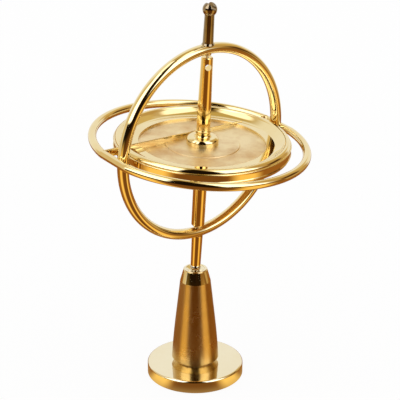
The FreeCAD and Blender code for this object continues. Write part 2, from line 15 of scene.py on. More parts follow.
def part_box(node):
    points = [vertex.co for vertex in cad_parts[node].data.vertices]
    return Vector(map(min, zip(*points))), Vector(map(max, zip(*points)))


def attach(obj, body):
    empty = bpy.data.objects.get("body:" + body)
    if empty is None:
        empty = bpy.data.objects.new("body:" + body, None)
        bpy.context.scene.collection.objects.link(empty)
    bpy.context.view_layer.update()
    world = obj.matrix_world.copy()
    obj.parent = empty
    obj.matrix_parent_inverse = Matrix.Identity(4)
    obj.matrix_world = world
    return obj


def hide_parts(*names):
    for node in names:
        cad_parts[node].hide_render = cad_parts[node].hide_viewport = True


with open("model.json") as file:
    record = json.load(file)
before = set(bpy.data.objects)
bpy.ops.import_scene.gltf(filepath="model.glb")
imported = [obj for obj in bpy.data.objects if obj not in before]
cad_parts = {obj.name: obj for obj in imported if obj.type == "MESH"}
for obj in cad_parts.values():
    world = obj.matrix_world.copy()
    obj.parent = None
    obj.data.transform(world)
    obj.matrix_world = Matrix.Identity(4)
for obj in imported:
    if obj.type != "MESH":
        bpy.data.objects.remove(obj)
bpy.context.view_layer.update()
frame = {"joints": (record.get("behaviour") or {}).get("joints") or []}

# %% [markdown]
# Millimetres are easier to think in than metres for something that fits in a hand, so one name holds
# the factor. The whole gyroscope leans on a small ball in the cup of the pedestal. Its pieces are drawn
# about the gyroscope's own centre with the spindle upright, which is how they were turned, and are then
# put in place by one matrix: turn the upright ring to its heading, then lean everything about the ball.

# %% Where the leaning gyroscope stands
MM = 0.001
RING_HEADING = math.radians(39.3)
CENTRE_ABOVE_BALL = 47
lean_joint = next(joint for joint in frame["joints"] if joint["name"] == "lean")
ball_centre = Vector(lean_joint["pos_m"])
lean = Matrix.Rotation(math.radians(-lean_joint["range_deg"][0]), 4, Vector(lean_joint["axis"]))
ring_heading = Matrix.Rotation(RING_HEADING, 4, "Z")
centre_above_ball = Matrix.Translation((0, 0, CENTRE_ABOVE_BALL * MM))
LEANING = Matrix.Translation(ball_centre) @ lean @ ring_heading @ centre_above_ball
UPRIGHT = Matrix.Identity(4)
print("gyroscope centre:", [round(x * 1000, 2) for x in LEANING.translation], "mm")

# %% [markdown]
# Almost every piece came off a lathe, so it is drawn the way a lathe cuts it: half an outline, spun
# once round the axis. A pen starts as a tiny plane merged to a single point. Each straight cut is an
# extrusion of that point, and each rounding is a spin of the point about the centre of its arc. Two
# holding points close to the ends of a long straight cut keep the shading of that cut flat.

# %% The lathe pen: straight cuts and roundings
HOLD = 0.06 * MM
DEGREES_PER_STEP, FEWEST_STEPS = 3, 4


def put_pen_down(name, across, up):
    bpy.ops.object.select_all(action="DESELECT")
    bpy.ops.mesh.primitive_plane_add(size=MM)
    piece = bpy.context.object
    piece.name = piece.data.name = name
    bpy.ops.object.mode_set(mode="EDIT")
    bpy.ops.mesh.merge(type="CENTER")
    bpy.ops.transform.translate(value=(across * MM, 0, up * MM))
    return piece


def cut_straight(start, end):
    step = (Vector((end[0], 0, end[1])) - Vector((start[0], 0, start[1]))) * MM
    hold = min(HOLD, step.length / 4)
    if step.length > 8 * HOLD:
        cuts = [step.normalized() * hold, step - step.normalized() * 2 * hold, step.normalized() * hold]
    else:
        cuts = [step]
    for cut in cuts:
        bpy.ops.mesh.extrude_vertices_move(TRANSFORM_OT_translate={"value": cut})


def cut_round(start, end, radius):
    """Spins the pen from start to end. A positive radius turns anticlockwise, a negative one clockwise."""
    chord = Vector((end[0] - start[0], end[1] - start[1]))
    left = Vector((-chord.y, chord.x)).normalized() * (1 if radius > 0 else -1)
    depth = math.sqrt(max(radius ** 2 - chord.length_squared / 4, 0))
    centre = Vector(start) + chord / 2 + left * depth
    angle = 2 * math.asin(min(1, chord.length / 2 / abs(radius)))
    steps = max(FEWEST_STEPS, math.ceil(math.degrees(angle) / DEGREES_PER_STEP))
    axis = (0, 1, 0) if radius > 0 else (0, -1, 0)
    bpy.ops.mesh.spin(steps=steps, angle=angle, center=(centre.x * MM, 0, centre.y * MM), axis=axis)

# %% [markdown]
# The outline becomes a body when it is spun a full turn. The first and last copies meet in a seam, so
# their doubles are merged, and then the faces are told which way is outside. A real turned edge is
# never knife sharp: a narrow bevel gives each corner the thin gleam that metal has there.

# %% Turn an outline into a piece
TURN_STEPS = 240
CORNER_ANGLE = math.radians(32)
SAME_POINT = 1e-6


def pick(piece):
    bpy.ops.object.select_all(action="DESELECT")
    piece.select_set(True)
    bpy.context.view_layer.objects.active = piece


def put_in_place(piece, place):
    """Moves the piece's mesh to its place and leaves the object itself at the origin."""
    piece.matrix_world = place
    pick(piece)
    bpy.ops.object.transform_apply(location=True, rotation=True, scale=True)


def smooth(piece, angle=CORNER_ANGLE):
    """Shades the piece smooth, but for the corners that are sharper than the angle."""
    pick(piece)
    bpy.ops.object.shade_smooth_by_angle(angle=angle)


def break_edges(piece, width):
    pick(piece)
    bevel = piece.modifiers.new("edge_break", "BEVEL")
    bevel.width = width * MM
    bevel.segments = 3
    bevel.limit_method = "ANGLE"
    bevel.angle_limit = CORNER_ANGLE
    bevel.harden_normals = True
    bpy.ops.object.modifier_apply(modifier=bevel.name)


def turn(name, outline, edge=0.08, steps=TURN_STEPS):
    """Turns a piece about Z from (radius, height) points; a third number is the radius of an arc."""
    piece = put_pen_down(name, outline[0][0], outline[0][1])
    closed = outline[0][0] > 0
    for number, corner in enumerate(outline[1:] + ([outline[0]] if closed else [])):
        before = outline[number]
        if len(corner) == 3 and number + 1 < len(outline):
            cut_round(before[:2], corner[:2], corner[2])
        else:
            cut_straight(before[:2], corner[:2])
    bpy.ops.mesh.select_all(action="SELECT")
    bpy.ops.mesh.remove_doubles(threshold=SAME_POINT)
    bpy.ops.mesh.select_all(action="SELECT")
    bpy.ops.mesh.spin(steps=steps, angle=2 * math.pi, center=(0, 0, 0), axis=(0, 0, 1))
    bpy.ops.mesh.select_all(action="SELECT")
    bpy.ops.mesh.remove_doubles(threshold=SAME_POINT)
    bpy.ops.mesh.normals_make_consistent(inside=False)
    bpy.ops.object.mode_set(mode="OBJECT")
    wrap_round(piece)
    smooth(piece)
    if edge:
        break_edges(piece, edge)
    return piece

# %% [markdown]
# A brushed finish needs to know which way the tool went. The wrapping map stores it: across the map is
# once round the axis, and up the map is the way along the outline. The seam's faces are shifted by a
# whole turn, so that no face is stretched over the full width of the map.

# %% Wrap a map round the lathe axis
MM_PER_MAP = 100
ON_AXIS = 1e-7


def wrap_round(piece):
    mesh = piece.data
    layer = mesh.uv_layers.active or mesh.uv_layers.new(name="turning")
    for face in mesh.polygons:
        middle = math.atan2(face.center.y, face.center.x)
        for loop in face.loop_indices:
            point = mesh.vertices[mesh.loops[loop].vertex_index].co
            radius = math.hypot(point.x, point.y)
            angle = math.atan2(point.y, point.x) if radius > ON_AXIS else middle
            angle += 2 * math.pi * round((middle - angle) / (2 * math.pi))
            layer.data[loop].uv = (angle / (2 * math.pi), (radius + point.z) / MM / MM_PER_MAP)


def report(piece):
    print(f"{piece.name}: {len(piece.data.polygons)} faces")
    return piece

# %% [markdown]
# ## The pedestal
# The base is a thick disc with a softly rounded top edge, mirror polished. The column stands in a
# shallow socket, and a countersunk screw from below holds it. All three are turned outlines.

# %% Base disc, column and screw
base_disc = report(turn("base_disc_turned", [
    (3.84, 0), (16.7, 0), (17, 0.3), (17, 3.8), (16.2, 4.6, 0.8), (4.51, 4.6), (4.51, 3.4),
    (2.04, 3.4), (2.04, 2.2), (3.84, 0.4)]))
column = report(turn("pedestal_column_turned", [
    (2.01, 3.41), (4.5, 3.41), (4.5, 4.6), (6.9, 4.6), (8.3, 6.3), (7.15, 20, 263), (5.35, 35.8),
    (4.2, 40), (3.86, 40), (3.86, 35.79), (0, 35.79), (0, 18.405), (2.01, 17.4)], edge=0.12))
base_screw = turn("base_screw_turned", [
    (0, 0.4), (3.8, 0.4), (2, 2.2), (2, 14.9), (1.5, 15.4), (0, 15.4)], steps=96)

# %% [markdown]
# The cup is a bright flanged thimble pressed into the column's top. Its seat is a hollow sphere a hair
# larger than the ball, and the ball foot turns in it. The ball is a half circle spun round: drawn as
# two quarter arcs, its widest point is a true corner of the outline.

# %% Pivot cup and ball foot
BALL_HEIGHT, BALL_RADIUS = 40.6, 1.85
cup_wall_top = 40.4
pivot_cup = report(turn("pivot_cup_turned", [
    (0, 35.8), (3.85, 35.8), (3.85, 40), (4.075, 40), (4.075, 40.15), (3.825, cup_wall_top, 0.25),
    (3.5, cup_wall_top), (3.25, 40.15, 0.25), (1.3, 39.228), (0, 38.71, -1.89)], edge=0.05))
foot_ball = report(turn("foot_ball_turned", [
    (0, BALL_HEIGHT - BALL_RADIUS), (BALL_RADIUS, BALL_HEIGHT, BALL_RADIUS),
    (0, BALL_HEIGHT + BALL_RADIUS, BALL_RADIUS)], edge=0, steps=96))

# %% [markdown]
# Some shapes can't be turned on a lathe. They are cut afterwards with a Boolean modifier, as with a drill,
# a round file or a key: a cylinder stands where the tool would go and is then taken away from the piece.

# %% A round cutter and the cut
def cutter(radius, depth, place):
    bpy.ops.object.select_all(action="DESELECT")
    bpy.ops.mesh.primitive_cylinder_add(vertices=96, radius=radius * MM, depth=depth * MM)
    tool = bpy.context.object
    put_in_place(tool, place)
    return tool


def cut(piece, tool):
    pick(piece)
    modifier = piece.modifiers.new("cut", "BOOLEAN")
    modifier.operation = "DIFFERENCE"
    modifier.solver = "EXACT"
    modifier.object = tool
    bpy.ops.object.modifier_apply(modifier=modifier.name)
    bpy.data.objects.remove(tool)


def at(x, y, z):
    return Matrix.Translation((x * MM, y * MM, z * MM))

# %% [markdown]
# The base screw is turned from below with a hexagon key. A cylinder with six sides is such a key, and
# cutting it away leaves the socket. Its width is measured across the flats, while Blender asks for the
# distance from the middle to a corner, which is the width divided by the square root of three.

# %% The screw's hexagon socket
HEX_WIDTH, HEX_TOP, KEY_LENGTH = 2.5, 2.0, 4
bpy.ops.object.select_all(action="DESELECT")
bpy.ops.mesh.primitive_cylinder_add(vertices=6, radius=HEX_WIDTH / math.sqrt(3) * MM, depth=KEY_LENGTH * MM)
hexagon = bpy.context.object
corner_to_side = Matrix.Rotation(math.radians(30), 4, "Z")
put_in_place(hexagon, at(0, 0, HEX_TOP - KEY_LENGTH / 2) @ corner_to_side)
cut(base_screw, hexagon)
smooth(base_screw)
report(base_screw)

# %% [markdown]
# ## The two rings
# The upright ring has an oval section, so it starts as a torus that is stretched along its own axis and
# then turned to face along Y. Three kinds of cut are made in it: a flat at the top and bottom where the
# stems stand, a bore for the bearings, and a saddle on each side where the wire ring lies. The wire
# ring's place is worked out first, because the saddles are cut from the same numbers. A mirror-smooth
# ring needs many segments, since it bends the reflections of the studio.

# %% Upright ring
RING_RADIUS, RING_HALF_THICKNESS, RING_HALF_WIDTH = 33.0, 1.75, 2.15
SEAT, SEAT_RADIUS, BEARING_BORE = 34.4, 2.25, 1.31
WIRE, SADDLE_GAP = 1.4, 0.01
CROSSING = 35.55
CANT_AXIS = Vector((0.6334, 0.7738, 0))
cant = Matrix.Rotation(math.radians(2.6), 4, CANT_AXIS)
WIRE_RING_PLACE = at(-0.45, 0.75, 0) @ cant
turned_to_y = Matrix.Rotation(math.radians(90), 4, "X")

bpy.ops.object.select_all(action="DESELECT")
bpy.ops.mesh.primitive_torus_add(major_segments=288, minor_segments=48, major_radius=RING_RADIUS * MM,
                                 minor_radius=RING_HALF_THICKNESS * MM, generate_uvs=True)
upright_ring = bpy.context.object
upright_ring.name = upright_ring.data.name = "vertical_ring_polished"
bpy.ops.object.mode_set(mode="EDIT")
bpy.ops.mesh.select_all(action="SELECT")
bpy.ops.transform.resize(value=(1, 1, RING_HALF_WIDTH / RING_HALF_THICKNESS))
bpy.ops.object.mode_set(mode="OBJECT")
put_in_place(upright_ring, turned_to_y)
for side in (1, -1):
    crossing = WIRE_RING_PLACE @ at(side * CROSSING, 0, 0) @ turned_to_y
    cut(upright_ring, cutter(SEAT_RADIUS, 4, at(0, 0, side * (SEAT + 2))))
    cut(upright_ring, cutter(BEARING_BORE, 6, at(0, 0, side * RING_RADIUS)))
    cut(upright_ring, cutter(WIRE + SADDLE_GAP, 9, crossing))
smooth(upright_ring)
report(upright_ring)

# %% [markdown]
# The thinner ring is a bent wire, straight for a short way where it is brazed to the upright ring. It
# starts as a circle, the wire's section. Spinning that circle bends half of the ring, a turned copy is
# the other half, and two bridges between the ends are the straight stretches.

# %% Wire ring
FLAT_HALF_ANGLE = math.radians(10)
bend_radius = CROSSING / math.cos(FLAT_HALF_ANGLE)
bpy.ops.object.select_all(action="DESELECT")
bpy.ops.mesh.primitive_circle_add(vertices=40, radius=WIRE * MM, fill_type="NOTHING")
wire_ring = bpy.context.object
wire_ring.name = wire_ring.data.name = "horizontal_ring_polished"
facing_along = Matrix.Rotation(FLAT_HALF_ANGLE, 4, "Z") @ at(bend_radius, 0, 0) @ turned_to_y
put_in_place(wire_ring, facing_along)
bpy.ops.object.mode_set(mode="EDIT")
bpy.ops.mesh.select_all(action="SELECT")
bpy.ops.mesh.spin(steps=150, angle=math.pi - 2 * FLAT_HALF_ANGLE, center=(0, 0, 0), axis=(0, 0, -1))
bpy.ops.mesh.select_all(action="SELECT")
bpy.ops.mesh.spin(steps=1, angle=math.pi, center=(0, 0, 0), axis=(0, 0, 1), dupli=True)
for side in (1, -1):
    bpy.ops.mesh.select_all(action="DESELECT")
    bpy.ops.mesh.select_non_manifold()
    bpy.ops.object.mode_set(mode="OBJECT")
    for vertex in wire_ring.data.vertices:
        vertex.select = vertex.select and vertex.co.x * side > 0
    bpy.ops.object.mode_set(mode="EDIT")
    bpy.ops.mesh.bridge_edge_loops(number_cuts=10, interpolation="LINEAR")
bpy.ops.mesh.select_all(action="SELECT")
bpy.ops.mesh.remove_doubles(threshold=SAME_POINT)
bpy.ops.mesh.normals_make_consistent(inside=False)
bpy.ops.object.mode_set(mode="OBJECT")
wrap_round(wire_ring)
put_in_place(wire_ring, WIRE_RING_PLACE)
smooth(wire_ring, math.radians(40))
report(wire_ring)

# %% [markdown]
# ## The stems
# The top stem tapers to a round head with a slot across it, where the end of a starting string is
# caught. The slot is a Boolean cut with a round floor: a cylinder for the floor and a block above it.
# The foot stem is hollowed at its end, where it sits on the ball.

# %% Top stem with its slotted head, and foot stem
HEAD_CENTRE = 46.25
top_stem = turn("top_stem_turned", [
    (0, 33.01), (1.3, 33.01), (1.3, SEAT), (2.2, SEAT), (1.8, 35.1, -2.2), (1.62, 44.479),
    (2.4, HEAD_CENTRE, 2.4), (1.162, 48.35, 2.4), (0, 48.35)], edge=0.06, steps=144)
SLOT, SLOT_LENGTH, BLOCK_HEIGHT = 1.8, 8, 4
SLOT_FLOOR = HEAD_CENTRE + 0.2
cut(top_stem, cutter(SLOT / 2, SLOT_LENGTH, at(0, 0, SLOT_FLOOR + SLOT / 2) @ turned_to_y))
bpy.ops.mesh.primitive_cube_add(size=MM)
slot_block = bpy.context.object
block_size = Matrix.Diagonal((SLOT, SLOT_LENGTH, BLOCK_HEIGHT, 1))
put_in_place(slot_block, at(0, 0, SLOT_FLOOR + SLOT / 2 + BLOCK_HEIGHT / 2) @ block_size)
cut(top_stem, slot_block)
smooth(top_stem)
report(top_stem)
foot_stem = report(turn("foot_stem_turned", [
    (0, -33.01), (1.3, -33.01), (1.3, -SEAT), (1.9, -SEAT), (1.724, -46), (1.604, -46),
    (0, -45.11, 1.89)], edge=0.05, steps=144))

# %% [markdown]
# ## The rotor
# The rim carries the weight. Its wall is edged by thin lips, a rounded edge stands up inside them, and an
# almost straight slope leads down from it to a low flat. The web lies a step lower. It is left with the
# fine concentric marks of the lathe, and a slightly thicker disc lies round its hub.

# %% Rim and web
STUD_BORE = 1.26
rim = report(turn("rotor_rim_turned", [
    (21.5, -1.15), (24.3, -1.15), (27.2, -2.8, -20), (28.1, -3.25, 1.13), (29.65, -1.8, 1.56),
    (29.9, -1.55, 0.25), (29.7, -1.3), (29.7, 0.6), (29.9, 0.85), (29.65, 1.1, 0.25), (28.1, 2.55, 1.56),
    (27.2, 2.1, 1.13), (24.3, 0.45, -20), (21.5, 0.45)], edge=0.06, steps=288))
web = report(turn("rotor_web_turned", [
    (STUD_BORE, -1.4), (12.5, -1.4), (12.7, -1.15), (21.49, -1.15), (21.49, -0.35), (12.7, -0.35),
    (12.5, -0.1), (STUD_BORE, -0.1)], edge=0.05, steps=288))

# %% [markdown]
# The collars, both halves of the spindle, the hub stud and the pivots are small turned pieces too. The
# lower half is the upper one turned over and a little further from the middle, so one function draws
# either from a sign. The spindle flares out to its collar, with a small bead above the flare. A hole for
# the starting string is drilled across the upper half.

# %% Collars, spindle, stud and pivots
SEAT_HEIGHT = {1: -0.1, -1: 1.4}
COLLAR_TALL, COLLAR_ROUND = 2.65, 1.5


def collar(name, side):
    low = SEAT_HEIGHT[side]
    high = low + COLLAR_TALL
    return report(turn(name, [
        (STUD_BORE, low * side), (5.45, low * side), (5.45, (low + 1.15) * side),
        (3.95, high * side, COLLAR_ROUND * side), (STUD_BORE, high * side)], edge=0.06, steps=160))


def spindle(name, side, tip, end):
    root = SEAT_HEIGHT[side] + COLLAR_TALL
    return turn(name, [
        (STUD_BORE, root * side), (3, root * side), (2.4, (root + 0.9) * side, -1.1 * side),
        (2.65, (root + 1.5) * side), (2.65, (root + 2.1) * side), (2.35, (root + 2.3) * side),
        (tip, (end - 0.3) * side), (tip - 0.3, end * side), (0.51, end * side),
        (0.51, (end - 1.51) * side), (0, (end - 1.51) * side), (0, 9.3 * side),
        (STUD_BORE, 9.3 * side)], edge=0.06, steps=144)


def pivot_pin(name, side, root):
    return report(turn(name, [
        (0, root * side), (0.5, root * side), (0.5, 32.0 * side), (0.2, 32.3 * side), (0, 32.3 * side)],
        edge=0, steps=48))


def bearing(name, side):
    return report(turn(name, [
        (0.54, 30.95 * side), (1.3, 30.95 * side), (1.3, 32.65 * side), (0, 32.65 * side),
        (0, 32.35 * side), (0.54, 32.35 * side)], edge=0.05, steps=72))


upper_collar = collar("upper_collar_turned", 1)
lower_collar = collar("lower_collar_turned", -1)
upper_spindle = spindle("upper_spindle_turned", 1, 1.98, 30.2)
lower_spindle = report(spindle("lower_spindle_turned", -1, 2.25, 30.5))
HOLE_RADIUS, HOLE_HEIGHT, HOLE_HEADING = 1.1, 27.1, math.radians(-112)
string_hole = Matrix.Rotation(HOLE_HEADING, 4, "Z") @ at(0, 0, HOLE_HEIGHT)
cut(upper_spindle, cutter(HOLE_RADIUS, 6, string_hole @ Matrix.Rotation(math.radians(90), 4, "Y")))
smooth(upper_spindle)
report(upper_spindle)
hub_stud = report(turn("hub_stud_turned", [
    (0, -9), (0.95, -9), (1.25, -8.7), (1.25, 8.7), (0.95, 9), (0, 9)], edge=0, steps=64))
upper_pin = pivot_pin("upper_pivot_pin_turned", 1, 28.7)
lower_pin = pivot_pin("lower_pivot_pin_turned", -1, 29.0)
upper_bearing = bearing("upper_bearing_turned", 1)
lower_bearing = bearing("lower_bearing_turned", -1)

# %% [markdown]
# Each new piece now goes to its place, rides on its body and takes over from its plain solid.

# %% Place, ride and replace
GYRO_PIECES = {
    "frame": {"vertical_ring": upright_ring, "horizontal_ring": wire_ring, "top_stem": top_stem,
              "foot_stem": foot_stem, "upper_bearing": upper_bearing, "lower_bearing": lower_bearing},
    "rotor": {"rotor_rim": rim, "rotor_web": web, "upper_collar": upper_collar,
              "lower_collar": lower_collar, "upper_spindle": upper_spindle,
              "lower_spindle": lower_spindle, "hub_stud": hub_stud, "upper_pivot_pin": upper_pin,
              "lower_pivot_pin": lower_pin},
}
STAND_PIECES = {
    "stand": {"base_disc": base_disc, "pedestal_column": column, "pivot_cup": pivot_cup,
              "base_screw": base_screw},
    "foot": {"foot_ball": foot_ball},
}
for groups, place in ((GYRO_PIECES, LEANING), (STAND_PIECES, UPRIGHT)):
    for body, members in groups.items():
        for node, piece in members.items():
            put_in_place(piece, place)
            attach(piece, body)
            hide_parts(node)
            low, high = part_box(node)
            own = [piece.data.vertices[0].co.copy(), piece.data.vertices[0].co.copy()]
            for vertex in piece.data.vertices:
                own[0] = Vector(map(min, own[0], vertex.co))
                own[1] = Vector(map(max, own[1], vertex.co))
            off = max(max(abs(a - b) for a, b in zip(own[0], low)),
                      max(abs(a - b) for a, b in zip(own[1], high)))
            print(f"{node}: box within {off * 1000:.3f} mm of the solid")

# %% [markdown]
# ## Finishes
# The whole object is metal with one gold-coloured plating, and what changes from piece to piece is how
# it was finished: buffed to a mirror, left satin, or left with the fine rings of the lathe. A metal
# tints what it reflects, so its colour sits in Base Color with Metallic at 1. A few small helpers keep
# the node cells short: they add a node with its values, join two sockets, and start a node group.

# %% Helpers for node trees
COLOUR_A, COLOUR_B, COLOUR_OUT = 6, 7, 2


def add(tree, kind, **values):
    node = tree.nodes.new(f"ShaderNode{kind}")
    for name, value in values.items():
        if hasattr(node, name):
            setattr(node, name, value)
        else:
            node.inputs[name.replace("_", " ")].default_value = value
    return node


def join(tree, start, end):
    tree.links.new(start, end)


def new_group(name, inputs, outputs):
    """A node group from (kind, name) sockets, with a first Math node and its input and output nodes."""
    group = bpy.data.node_groups.new(name, "ShaderNodeTree")
    for way, sockets in (("INPUT", inputs), ("OUTPUT", outputs)):
        for kind, label in sockets:
            group.interface.new_socket(label, in_out=way, socket_type=f"NodeSocket{kind}")
    return group, add(group, "Math"), group.nodes.new("NodeGroupInput"), group.nodes.new("NodeGroupOutput")

# %% [markdown]
# ### Handling wear
# Nothing that is picked up and spun by hand stays perfectly bright. Soft clouds from a noise texture
# dull the plating a little and warm its colour, and a second noise, pulled out along one direction, is
# the haze of fine wiping scratches. Every finish uses this group with its own amounts.

# %% Handling wear group
wear, cloud_amount, given, made = new_group(
    "handling_wear",
    [("Vector", "Place"), ("Color", "Clean"), ("Color", "Dull"), ("Float", "Cloudiness"),
     ("Float", "Clean Roughness"), ("Float", "Dull Roughness"), ("Float", "Haze")],
    [("Color", "Colour"), ("Float", "Roughness")])
cloud_amount.operation = "MULTIPLY"
clouds = add(wear, "TexNoise", Scale=110.0, Detail=5.0, Roughness=0.62)
pulled = add(wear, "Mapping", Scale=(1400.0, 160.0, 1400.0), Rotation=(0.4, 0.9, 0.6))
wiping = add(wear, "TexNoise", Scale=1.0, Detail=3.0, Roughness=0.7)
cloud_edge = add(wear, "MapRange", From_Min=0.38, From_Max=0.72)
scratch_edge = add(wear, "MapRange", From_Min=0.56, From_Max=0.74)
tint = add(wear, "Mix", data_type="RGBA")
dulled = add(wear, "Mix", data_type="FLOAT")
hazed = add(wear, "Math", operation="MULTIPLY_ADD")
join(wear, given.outputs["Place"], clouds.inputs["Vector"])
join(wear, given.outputs["Place"], pulled.inputs["Vector"])
join(wear, pulled.outputs["Vector"], wiping.inputs["Vector"])
join(wear, clouds.outputs["Fac"], cloud_edge.inputs["Value"])
join(wear, wiping.outputs["Fac"], scratch_edge.inputs["Value"])
join(wear, cloud_edge.outputs["Result"], cloud_amount.inputs[0])
join(wear, given.outputs["Cloudiness"], cloud_amount.inputs[1])
join(wear, cloud_amount.outputs[0], tint.inputs[0])
join(wear, given.outputs["Clean"], tint.inputs[COLOUR_A])
join(wear, given.outputs["Dull"], tint.inputs[COLOUR_B])
join(wear, cloud_amount.outputs[0], dulled.inputs[0])
join(wear, given.outputs["Clean Roughness"], dulled.inputs[2])
join(wear, given.outputs["Dull Roughness"], dulled.inputs[3])
join(wear, scratch_edge.outputs["Result"], hazed.inputs[0])
join(wear, given.outputs["Haze"], hazed.inputs[1])
join(wear, dulled.outputs[0], hazed.inputs[2])
join(wear, tint.outputs[COLOUR_OUT], made.inputs["Colour"])
join(wear, hazed.outputs[0], made.inputs["Roughness"])
print("group:", wear.name, len(wear.nodes), "nodes")

# %% [markdown]
# ### Lathe rings
# A turning tool leaves rings that run round the piece and change quickly along its outline. The
# wrapping map has exactly those two directions, so a noise that is read only along the outline, and is
# the same all the way round, draws the rings. A coarse and a fine set together look like a real cut.

# %% Lathe rings group
rings, ring_sum, given, made = new_group(
    "lathe_rings", [("Vector", "Map"), ("Float", "Coarse per mm"), ("Float", "Fine per mm")],
    [("Float", "Height")])
COARSE_SHARE = 0.55
ring_sum.operation = "MULTIPLY_ADD"
ring_sum.inputs[1].default_value = COARSE_SHARE
split = add(rings, "SeparateXYZ")
join(rings, given.outputs["Map"], split.inputs[0])
for socket, slot_number in (("Coarse per mm", 0), ("Fine per mm", 2)):
    along = add(rings, "Math", operation="MULTIPLY")
    per_map = add(rings, "Math", operation="MULTIPLY")
    per_map.inputs[1].default_value = MM_PER_MAP
    place = add(rings, "CombineXYZ")
    ring_noise = add(rings, "TexNoise", noise_dimensions="2D", Scale=1.0, Detail=2.0)
    join(rings, given.outputs[socket], per_map.inputs[0])
    join(rings, split.outputs["Y"], along.inputs[0])
    join(rings, per_map.outputs[0], along.inputs[1])
    join(rings, along.outputs[0], place.inputs["Y"])
    join(rings, place.outputs[0], ring_noise.inputs["Vector"])
    join(rings, ring_noise.outputs["Fac"], ring_sum.inputs[slot_number])
join(rings, ring_sum.outputs[0], made.inputs["Height"])
print("group:", rings.name, len(rings.nodes), "nodes")

# %% [markdown]
# ### One function for the plated finishes
# All plated finishes are one recipe with different amounts: the wear group feeds colour and roughness,
# and the lathe rings feed a very shallow bump. A brushed finish also stretches its highlights across
# the rings, which is what Anisotropic does. It reads the ring direction from the wrapping map, and a
# quarter turn of Anisotropic Rotation makes the stretch run across the rings and not along them. The
# column's neck is polished above one height, so a mask by height mixes in a mirror's colour and a low
# roughness there.

# %% Plated finishes
GOLD = (0.92, 0.79, 0.47)
WARM_GOLD = (0.82, 0.61, 0.27)
COAT_ROUGHNESS, NECK_ROUGHNESS = 0.05, 0.07
NECK_EDGE = 0.05
QUARTER_TURN = 0.25


def plated(name, clean, dull, cloudiness, roughness, dull_roughness, haze, ring_depth, coarse, fine,
           anisotropic=0.0, coat=0.0, polished_above=None):
    finish = bpy.data.materials.new(name)
    finish.use_nodes = True
    tree = finish.node_tree
    shader = tree.nodes["Principled BSDF"]
    shader.inputs["Metallic"].default_value = 1
    shader.inputs["Anisotropic"].default_value = anisotropic
    shader.inputs["Coat Weight"].default_value = coat
    shader.inputs["Coat Roughness"].default_value = COAT_ROUGHNESS
    place = add(tree, "TexCoord")
    worn = tree.nodes.new("ShaderNodeGroup")
    worn.node_tree = wear
    for socket, value in (("Clean", (*clean, 1)), ("Dull", (*dull, 1)), ("Cloudiness", cloudiness),
                          ("Clean Roughness", roughness), ("Dull Roughness", dull_roughness),
                          ("Haze", haze)):
        worn.inputs[socket].default_value = value
    join(tree, place.outputs["Object"], worn.inputs["Place"])
    colour, rough = worn.outputs["Colour"], worn.outputs["Roughness"]
    if polished_above:
        split = add(tree, "SeparateXYZ")
        above = add(tree, "MapRange", From_Min=(polished_above - NECK_EDGE) * MM,
                    From_Max=(polished_above + NECK_EDGE) * MM)
        bright = add(tree, "Mix", data_type="RGBA")
        bright.inputs[COLOUR_B].default_value = (*GOLD, 1)
        sleek = add(tree, "Mix", data_type="FLOAT")
        sleek.inputs[3].default_value = NECK_ROUGHNESS
        join(tree, place.outputs["Object"], split.inputs[0])
        join(tree, split.outputs["Z"], above.inputs["Value"])
        for mix, start, slot_number in ((bright, colour, COLOUR_A), (sleek, rough, 2)):
            join(tree, above.outputs["Result"], mix.inputs[0])
            join(tree, start, mix.inputs[slot_number])
        colour, rough = bright.outputs[COLOUR_OUT], sleek.outputs[0]
    join(tree, colour, shader.inputs["Base Color"])
    join(tree, rough, shader.inputs["Roughness"])
    turned = tree.nodes.new("ShaderNodeGroup")
    turned.node_tree = rings
    turned.inputs["Coarse per mm"].default_value = coarse
    turned.inputs["Fine per mm"].default_value = fine
    bump = add(tree, "Bump", Strength=1.0)
    bump.inputs["Distance"].default_value = ring_depth * MM
    join(tree, place.outputs["UV"], turned.inputs["Map"])
    join(tree, turned.outputs["Height"], bump.inputs["Height"])
    join(tree, bump.outputs["Normal"], shader.inputs["Normal"])
    if anisotropic:
        shader.inputs["Anisotropic Rotation"].default_value = QUARTER_TURN
        direction = add(tree, "Tangent", direction_type="UV_MAP")
        join(tree, direction.outputs["Tangent"], shader.inputs["Tangent"])
    print("finish:", name)
    return finish


# name, clean and dull colour, cloudiness, roughness, dull roughness, haze, ring depth in mm, rings per mm
mirror_gold = plated("mirror_gold_plate", GOLD, WARM_GOLD, 0.35, 0.04, 0.09, 0.04, 0.00012, 0.6, 3,
                     coat=0.2)
pale_gold = plated("pale_mirror_plate", (0.93, 0.86, 0.66), (0.86, 0.74, 0.48), 0.3, 0.05, 0.10, 0.05,
                   0.00015, 0.5, 3, coat=0.3)
web_gold = plated("lathe_ringed_plate", (0.95, 0.82, 0.55), (0.66, 0.40, 0.16), 0.75, 0.43, 0.52, 0.05,
                  0.0070, 1.4, 5, anisotropic=0.35)
satin_gold = plated("satin_plate", (0.68, 0.48, 0.20), (0.46, 0.30, 0.11), 0.5, 0.27, 0.36, 0.06, 0.0010,
                    1.2, 6, anisotropic=0.85, polished_above=35.8)
spindle_gold = plated("buffed_spindle_plate", (0.93, 0.73, 0.33), (0.84, 0.59, 0.21), 0.4, 0.07, 0.14,
                      0.05, 0.0003, 0.8, 4, anisotropic=0.4, coat=0.2)
stem_gold = plated("aged_stem_plate", (0.40, 0.32, 0.22), (0.16, 0.11, 0.06), 0.7, 0.07, 0.14, 0.05,
                   0.0003, 0.8, 4, anisotropic=0.4, coat=0.2)
bright_steel = plated("bright_turned_steel", (0.80, 0.79, 0.76), (0.55, 0.53, 0.50), 0.3, 0.10, 0.2,
                      0.06, 0.0003, 1, 5)
